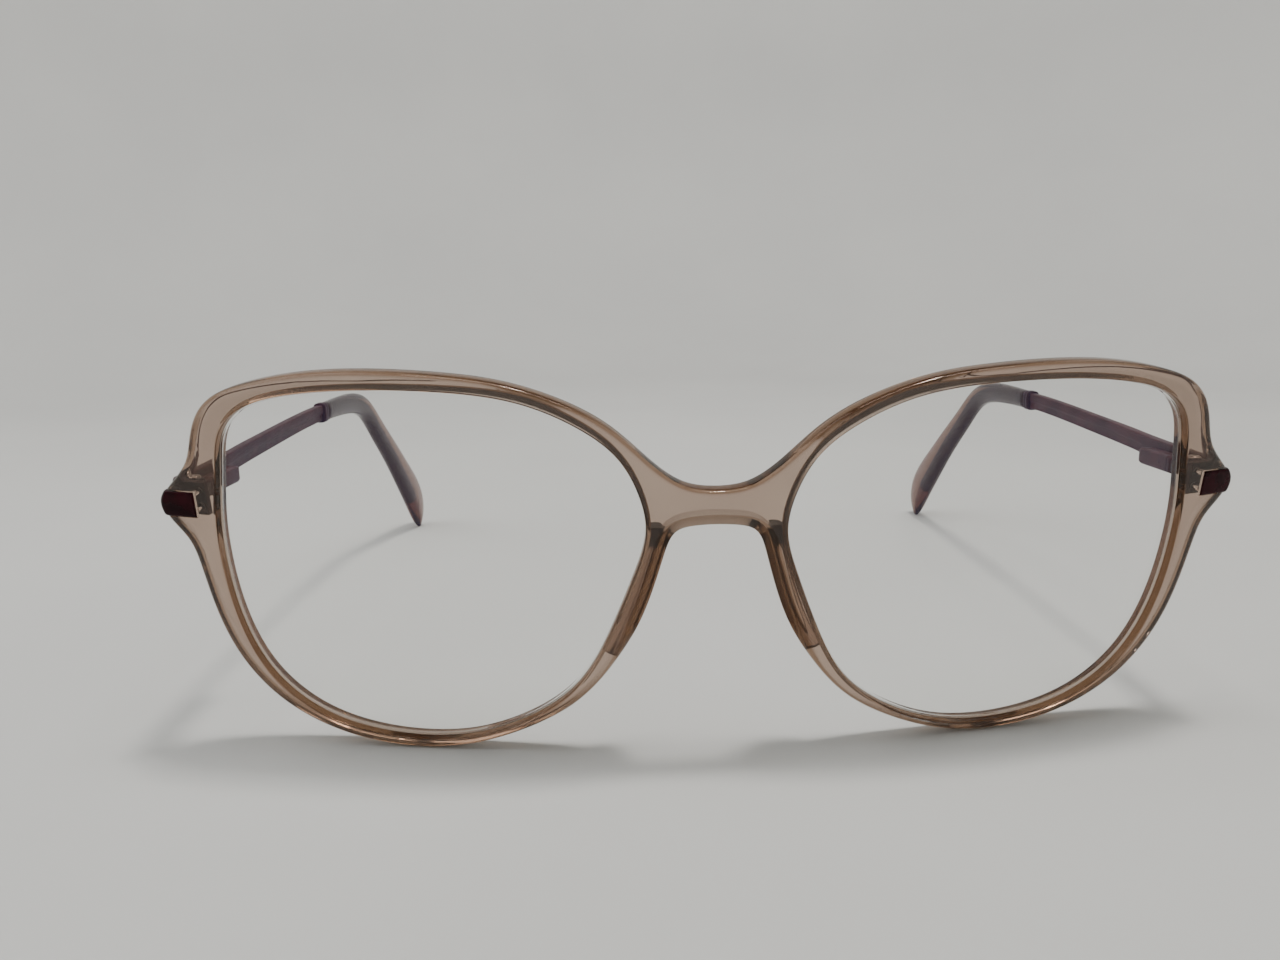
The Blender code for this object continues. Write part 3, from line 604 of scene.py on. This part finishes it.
def nose_pad_shape():
    """A pad with a flat top under the bridge, which thins and narrows down the rim."""
    shares = np.linspace(0, 1, 40)
    points = along(curve_through(PAD_LINE), shares)
    across = np.gradient(points, axis=0)
    across = np.stack([-across[:, 1], across[:, 0]], -1) / np.linalg.norm(across, axis=1)[:, None]
    rows = []
    for share, middle, side in zip(shares, points, across):
        swell = math.sin(math.pi * (0.06 + 0.88 * share)) ** 0.7
        top = 1 - smooth_step(share / 0.25)
        high = PAD_HIGH * max(swell, 0.7 * top)
        half = PAD_HALF * (0.55 + 0.45 * swell) + PAD_TOP_WIDTH * top
        splay = PAD_SPLAY * swell
        section = [(half, 0), (-half, 0), (-half + 0.3 * splay, 0.45 * high),
                   (-half + splay, 0.85 * high), (-0.2 * half + splay, high),
                   (0.6 * half + splay, 0.8 * high), (half + 0.2 * splay, 0.4 * high)]
        rows.append([on_front(middle[0] + side[0] * shift + 0.5 * top,
                              middle[1] + side[1] * shift * (1 - top),
                              THICKNESS + PAD_LIFT + max(depth, 0))
                     for shift, depth in even_loop(section, 28)])
    return loft(rows)


def outline_reach(v):
    """How far out the front's outline lies at a height on its corner."""
    curve = curve_through(FRONT_HALF)
    corner = curve[(curve[:, 0] > 60) & (curve[:, 1] > 20)]
    order = np.argsort(corner[:, 1])
    return float(np.interp(v, corner[order, 1], corner[order, 0]))


def block_shape():
    """The enamelled block on the corner: its sections wrap the corner, its ends are rounded."""
    inner_u, low, high = PLATE
    quarter = np.linspace(0, math.pi / 2, 4)
    rounding = [(BLOCK_BEVEL * (1 - math.cos(t)), BLOCK_BEVEL * (1 - math.sin(t))) for t in quarter]
    stations = [(low + rise, shrink) for rise, shrink in rounding]
    stations += [(v, 0.0) for v in np.linspace(low + BLOCK_BEVEL, high - BLOCK_BEVEL, 9)[1:-1]]
    stations += [(high - rise, shrink) for rise, shrink in rounding[::-1]]
    edge = CORNER_EDGE + 0.1
    rows = []
    for v, shrink in stations:
        reach = outline_reach(v)
        out = PLATE_PROUD - shrink
        outer = [(inner_u + shrink + BLOCK_LIP, -out), (66.0, -out), (66.8, -out)]
        outer += [(reach + out - edge + edge * math.sin(t), -out + (edge + out) * (1 - math.cos(t)))
                  for t in np.linspace(0, math.pi / 2, 8)]
        outer += [(reach + out, 1.4), (reach + out, PLATE_WRAP - shrink - 0.15)]
        back = [(reach - BLOCK_INNER, PLATE_WRAP - shrink),
                (reach - BLOCK_INNER, CORNER_EDGE + 0.4),
                (reach - CORNER_EDGE - BLOCK_INNER, BLOCK_INNER), (PLATE_BEND, BLOCK_INNER),
                (inner_u + shrink, BLOCK_INNER), (inner_u + shrink, -out + BLOCK_LIP)]
        rows.append([on_front(u, v, w) for u, w in outer + back])
    return loft(rows)


# ---- temple -----------------------------------------------------------------------------------
ROUTE = curve_through(TEMPLE_ROUTE)
ROUTE_LENGTH = float(np.linalg.norm(np.diff(ROUTE, axis=0), axis=1).sum())


def route_frame(distance):
    """The place on the temple's route at a distance, with its outward and upward directions."""
    places = [distance, min(distance + 0.5, ROUTE_LENGTH), max(distance - 0.5, 0)]
    place, ahead, behind = [Vector(p) for p in along(ROUTE, [d / ROUTE_LENGTH for d in places])]
    forward = (ahead - behind).normalized()
    outward = (Vector((1, 0, 0)) - forward * forward.x).normalized()
    return place, outward, outward.cross(forward)


def oval(distance, high, thick, square, rise=0.0, count=40):
    """A section of the temple between an ellipse (square 2) and a rectangle."""
    place, outward, upward = route_frame(distance)
    points = []
    for i in range(count):
        angle = 2 * math.pi * (i + 0.5) / count
        c, s = math.cos(angle), math.sin(angle)
        out = thick / 2 * math.copysign(abs(c) ** (2 / square), c)
        up = high / 2 * math.copysign(abs(s) ** (2 / square), s)
        points.append(place + outward * out + upward * (up + rise))
    return points


def bar_section(distance, high, thick, ridge):
    """A flat bar with rounded edges; the lower half of its inner side is set back under a ridge."""
    place, outward, upward = route_frame(distance)
    h, t, r = high / 2, thick / 2, BAR_ROUND
    profile = arc((t - r, h - r), r, 0, 90, 6) + arc((-t + r, h - r), r, 90, 180, 6)
    profile += [(-t, 0.12 * h), (-t + 0.4 * ridge, 0.0), (-t + ridge, -0.12 * h)]
    profile += arc((-t + ridge + r, -h + r), r, 180, 270, 6) + arc((t - r, -h + r), r, 270, 360, 6)
    return [place + outward * out + upward * up for out, up in profile]


def bar_shape():
    """The bar: a wider, round-nosed head at the hinge, then an even bar with its ridge."""
    head = np.linspace(0.0, HEAD_LENGTH, 36)
    rest = np.linspace(HEAD_LENGTH + 1, BAR_LENGTH, 40)
    rows = []
    for distance in [*head, *rest]:
        high = BAR_HIGH + (HEAD_HIGH - BAR_HIGH) * (1 - smooth_step(distance / HEAD_LENGTH))
        ridge = BAR_RIDGE * smooth_step((distance - 13) / 5)
        ahead = 1 - min(distance, BAR_NOSE) / BAR_NOSE
        nose = BAR_NOSE * (1 - math.sqrt(max(0.0, 1 - ahead ** 2)))
        rows.append(bar_section(distance, high - nose, BAR_THICK - nose, ridge))
    return loft(rows)


def core_shape():
    """The wire in the tip, with a rounded end."""
    end = ROUTE_LENGTH - CORE_SHORT
    stations = [(BAR_LENGTH - 1, 1.0)] + [(d, 1.0) for d in np.linspace(BAR_LENGTH, end - 1.5, 70)]
    stations += [(end - 0.8, 0.85), (end - 0.2, 0.6), (end, 0.3)]
    return loft([oval(distance, CORE_HIGH * share, CORE_THICK * share, 3.0, count=CIRCLE_POINTS)
                 for distance, share in stations])


def collar_shape():
    """The collar between bar and tip, with rounded ends and a shallow waist."""
    start, end = [y - TEMPLE_ROUTE[0][1] for y in COLLAR_Y]
    rounded = [(0.0, 3.15, 1.8), (0.05, 3.5, 2.2), (0.2, 3.7, 2.42), (0.45, 3.75, 2.5)]
    waist = [(0.75, 3.68, 2.42), (0.9, 3.62, 2.38), (1.05, 3.68, 2.42)]
    sizes = [(start + shift, high, thick) for shift, high, thick in rounded + waist]
    sizes += [(end - shift, high, thick) for shift, high, thick in rounded[::-1]]
    return loft([oval(distance, high, thick, 3.4) for distance, high, thick in sizes])


def tip_shape():
    """The acetate tip, widest shortly before its rounded end, on the core wire's route."""
    length = ROUTE_LENGTH - TIP_START
    curve = curve_through(TIP_SHAPE)
    rows = [oval(TIP_START, 3.2, 2.0, 2.8)]
    for share in [*np.linspace(0.004, 0.93, 90), 0.95, 0.965, 0.98, 0.99, 0.996, 1.0]:
        high = float(np.interp(share, curve[:, 0], curve[:, 1]))
        thick = float(np.interp(share, curve[:, 0], curve[:, 2]))
        rows.append(oval(TIP_START + share * length, high, thick, 2.5, rise=0.38 * (high - 3.6)))
    return loft(rows)


def box_shape():
    """The spring housing: a bar rounded on its inner side, with a line near its front end."""
    x0, x1 = BOX_X[0], BOX_X[1] + 0.05
    start, end = BOX_Y
    stations = [(start, 0.25), (start + 0.08, 0.1), (start + 0.25, 0.0), (start + 1.0, 0.0),
                (start + 1.05, 0.06), (start + 1.3, 0.06), (start + 1.35, 0.0),
                (end - 1.2, 0.0), (end - 0.6, 0.08), (end - 0.2, 0.25), (end, 0.55)]
    r, s = BOX_ROUND, BOX_INNER_ROUND
    rows = []
    for y, shrink in stations:
        a, b = BOX_HALF - shrink, x0 + shrink
        section = arc((x1 - s, a - s), s, 0, 90, 3) + arc((b + r, a - r), r, 90, 180, 6)
        section += arc((b + r, -a + r), r, 180, 270, 6) + arc((x1 - s, -a + s), s, 270, 360, 3)
        rows.append([Vector((x, y, HINGE[2] + z)) for x, z in section])
    return loft(rows)


def pin_shape():
    """The domed end of the pin that holds the bush."""
    face = BOX_X[0] - 0.07
    sections = ((BOX_X[0] + 0.3, PIN_RADIUS), (BOX_X[0] - 0.02, PIN_RADIUS),
                (face, 0.2), (face, 0.02))
    return loft([[Vector((x, PIN_Y + radius * math.cos(a), HINGE[2] + radius * math.sin(a)))
                  for a in turns(CIRCLE_POINTS)] for x, radius in sections])


def spring_shape():
    """The closed coil between the bush and the nut."""
    sides, steps = 8, 24
    start, end = SPRING_Y
    rows = []
    for i in range(SPRING_TURNS * steps + 1):
        angle = 2 * math.pi * i / steps
        outwards = Vector((math.cos(angle), 0, math.sin(angle)))
        middle = Vector((BOX_MIDDLE, start + (end - start) * i / (SPRING_TURNS * steps), HINGE[2]))
        middle += SPRING_R * outwards
        onwards = Vector((0, 1, 0))
        rows.append([middle + SPRING_WIRE * (outwards * math.cos(a) + onwards * math.sin(a))
                     for a in turns(sides)])
    return loft(rows)


def bevelled_copy(node, material, body, width=0.07):
    """A copy of a small metal CAD piece with its edges rounded."""
    source = frame["nodes"][node]
    mesh = source.data.copy()
    mesh.name = node + "_fine"
    mesh.materials.clear()
    mesh.materials.append(material)
    piece = bpy.data.objects.new(node + "_fine", mesh)
    bpy.context.scene.collection.objects.link(piece)
    work = bmesh.new()
    work.from_mesh(mesh)
    bmesh.ops.remove_doubles(work, verts=work.verts[:], dist=1e-7)
    bmesh.ops.dissolve_limit(work, angle_limit=math.radians(1.0), verts=work.verts[:],
                             edges=work.edges[:])
    sharp = [edge for edge in work.edges
             if len(edge.link_faces) == 2 and edge.calc_face_angle() > math.radians(35)]
    bmesh.ops.bevel(work, geom=sharp, offset=width * MM, segments=2, profile=0.6, affect="EDGES",
                    clamp_overlap=True)
    work.to_mesh(mesh)
    work.free()
    mesh.shade_smooth()
    mesh.set_sharp_from_angle(angle=math.radians(40))
    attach(piece, body)
    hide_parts(node)
    return piece


# ---- pieces -----------------------------------------------------------------------------------
front = finish_piece("acetate_front", front_shape(), ACETATE, "front", ["front_frame"])
cutters = []
for _, side in SIDES:
    cutters.append(recess_shape(side))
    cutters += [screw_hole_shape(u, v, side) for u, v in LEAF_SCREWS]
cut(front, cutters)
front.data.set_sharp_from_angle(angle=SHARP_ANGLE)

for side_name, side in SIDES:
    body, eye = "temple_" + side_name, "eye_" + side_name
    finish_piece("clear_lens_" + side_name, lens_shape(), LENS, "front",
                 ["lens_" + side_name], side)
    finish_piece("pad_" + side_name, nose_pad_shape(), PAD_ACETATE, "front",
                 ["nose_pad_" + side_name], side)
    finish_piece("corner_block_" + side_name, block_shape(), ENAMEL, "front",
                 ["corner_plate_" + side_name], side)
    finish_piece("plum_bar_" + side_name, bar_shape(), PLUM, body,
                 ["temple_bar_" + side_name], side, True)
    finish_piece("core_wire_" + side_name, core_shape(), DARK, body, (), side, True)
    finish_piece("dark_collar_" + side_name, collar_shape(), DARK, body,
                 ["tip_collar_" + side_name], side, True)
    finish_piece("acetate_tip_" + side_name, tip_shape(), TIP_ACETATE, body,
                 ["temple_tip_" + side_name], side, True)
    finish_piece("spring_housing_" + side_name, box_shape(), PLUM, body,
                 ["hinge_box_" + side_name], side, True)
    finish_piece("housing_pin_" + side_name, pin_shape(), DARK, body,
                 ["bush_pin_" + side_name], side, True)
    bevelled_copy("front_hinge_leaf_" + side_name, DARK, "front")
    bevelled_copy("hinge_eye_" + side_name, DARK, eye)
    bevelled_copy("hinge_screw_" + side_name, STEEL, "front", 0.05)
    for level in ("upper", "lower"):
        bevelled_copy(f"leaf_screw_{level}_{side_name}", STEEL, "front", 0.05)
    spring = finish_piece("coil_" + side_name, spring_shape(), STEEL, body,
                          ["hinge_spring_" + side_name], side, True)
    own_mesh(spring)

# The nuts and bushes keep their CAD shapes and get their metal.
for name, node in frame["nodes"].items():
    if name.startswith(("slider_nut", "slider_bush")):
        node.data.materials.clear()
        node.data.materials.append(STEEL)


# ---- stage ------------------------------------------------------------------------------------
def stage_material():
    made = Shader("pale_stage").set(Roughness=0.62, Specular_IOR_Level=0.25)
    pale, paler = (0.56, 0.56, 0.55), (0.60, 0.60, 0.585)
    made.link(made.ramp(made.noise(7.0, 4.0), [(0.3, pale), (0.7, paler)]), "Base Color")
    return made.material


def add_stage():
    """A round floor that turns up into a plain wall on all sides."""
    floor, bend, height = 0.45, 0.25, 1.0
    profile = [(0.004, 0.0), (0.2, 0.0), (floor, 0.0)]
    profile += [(floor + bend * math.sin(a), bend - bend * math.cos(a))
                for a in np.linspace(0.1, math.pi / 2, 15)]
    profile += [(floor + bend, height)]
    bm = bmesh.new()
    rows = add_rows(bm, [[(r * math.cos(a), r * math.sin(a), z) for a in turns(96)]
                         for r, z in profile])
    bm.faces.new(rows[0])
    bmesh.ops.recalc_face_normals(bm, faces=bm.faces[:])
    mesh = bpy.data.meshes.new("stage")
    bm.to_mesh(mesh)
    bm.free()
    mesh.shade_smooth()
    mesh.materials.append(stage_material())
    stage = bpy.data.objects.new("stage", mesh)
    bpy.context.scene.collection.objects.link(stage)


def add_light(name, place, target, size, power, colour):
    """A soft rectangular light aimed at a target; metres and watts."""
    light = bpy.data.lights.new(name, "AREA")
    light.shape = "RECTANGLE"
    light.size, light.size_y = size
    light.energy = power
    light.color = colour
    item = bpy.data.objects.new(name, light)
    item.location = place
    item.rotation_euler = (Vector(target) - Vector(place)).to_track_quat("-Z", "Y").to_euler()
    bpy.context.scene.collection.objects.link(item)


def add_camera():
    """The camera of the photographed view: place in metres, and its yaw, pitch and roll."""
    camera = bpy.data.cameras.new("camera")
    camera.sensor_width = 36.0
    camera.lens = 26.86
    camera.clip_start = 0.005
    item = bpy.data.objects.new("camera", camera)
    yaw, pitch, roll = 0.0453, 0.2011, -0.0119
    forward = Vector((math.sin(yaw) * math.cos(pitch), math.cos(yaw) * math.cos(pitch),
                      -math.sin(pitch)))
    right = Vector((math.cos(yaw), -math.sin(yaw), 0))
    up = right.cross(forward)
    turned_right = right * math.cos(roll) + up * math.sin(roll)
    turned_up = up * math.cos(roll) - right * math.sin(roll)
    place = (Vector((-14.44, -117.01, 60.60)) - ORIGIN) * MM
    item.matrix_world = Matrix((
        (turned_right.x, turned_up.x, -forward.x, place.x),
        (turned_right.y, turned_up.y, -forward.y, place.y),
        (turned_right.z, turned_up.z, -forward.z, place.z),
        (0, 0, 0, 1)))
    bpy.context.scene.collection.objects.link(item)
    bpy.context.scene.camera = item


add_stage()
add_light("key", (0.10, -0.05, 0.80), (0, 0, 0.02), (0.10, 0.10), 2.7, (1.0, 0.97, 0.92))
add_light("fill", (-0.5, -0.1, 0.55), (0, 0, 0.02), (0.4, 0.6), 1.9, (0.96, 0.98, 1.0))
add_light("wall_wash", (0.1, -0.1, 1.1), (0, 0.6, 0.25), (0.9, 0.3), 6.2, (1.0, 0.99, 0.97))
world = bpy.data.worlds.new("soft_room")
world.use_nodes = True
background = world.node_tree.nodes["Background"]
background.inputs["Color"].default_value = (0.80, 0.82, 0.83, 1)
background.inputs["Strength"].default_value = 0.08
bpy.context.scene.world = world
add_camera()
